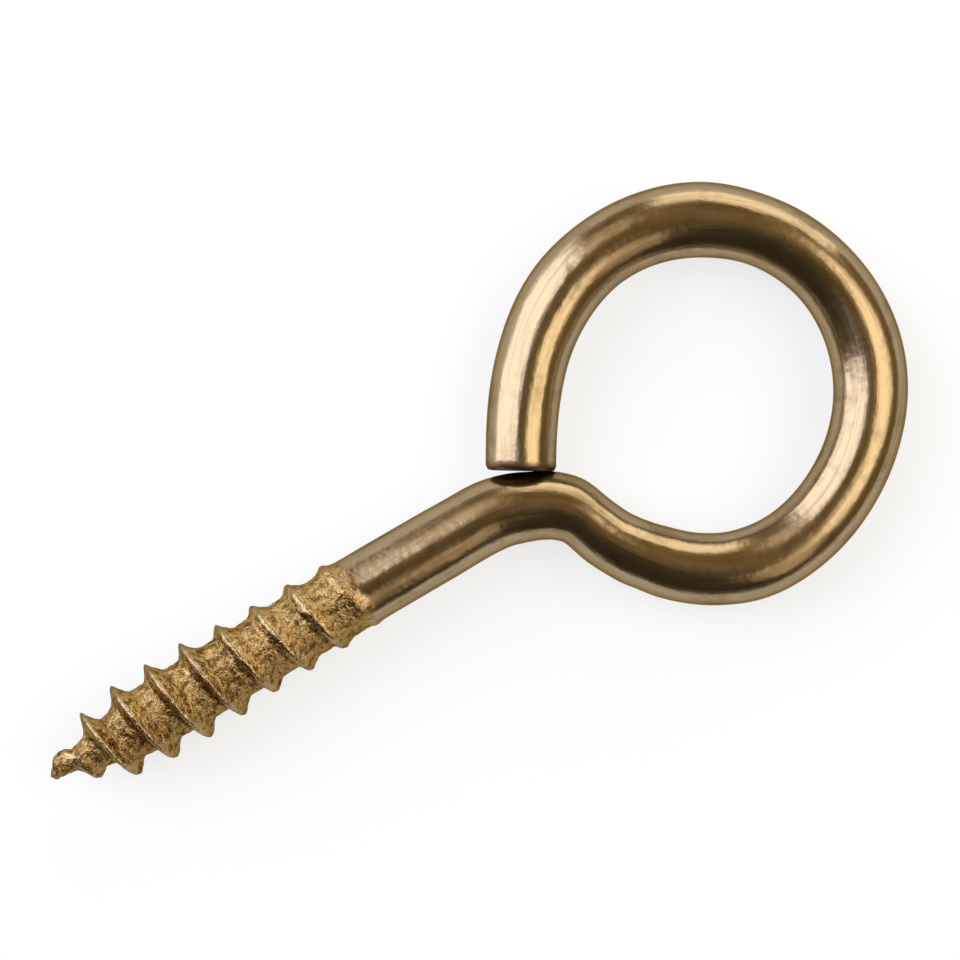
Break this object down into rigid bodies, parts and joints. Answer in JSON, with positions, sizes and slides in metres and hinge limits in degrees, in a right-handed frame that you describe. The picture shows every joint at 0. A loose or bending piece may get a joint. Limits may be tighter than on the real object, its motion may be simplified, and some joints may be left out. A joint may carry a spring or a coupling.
{
  "type": "screw eye",
  "caption": "Screw eye bent from one length of round wire: a round eye with a cut end against its neck, a plain shank and a tapered wood-screw thread with a gimlet point.",
  "frame": {"origin": "centre of the eye, in the middle plane of the wire", "axes": "+X along the shank from the point to the eye, +Z square to the plane of the eye, -Y the side that the neck bends to"},
  "size_m": [0.0501, 0.0218, 0.005],
  "materials": {
    "plated_wire": "drawn steel wire with a thin brass plating: satin along the wire, rough and darker between the turns of the rolled thread"
  },
  "bodies": {
    "root": {"screw_eye": "plated_wire"}
  },
  "joints": []
}
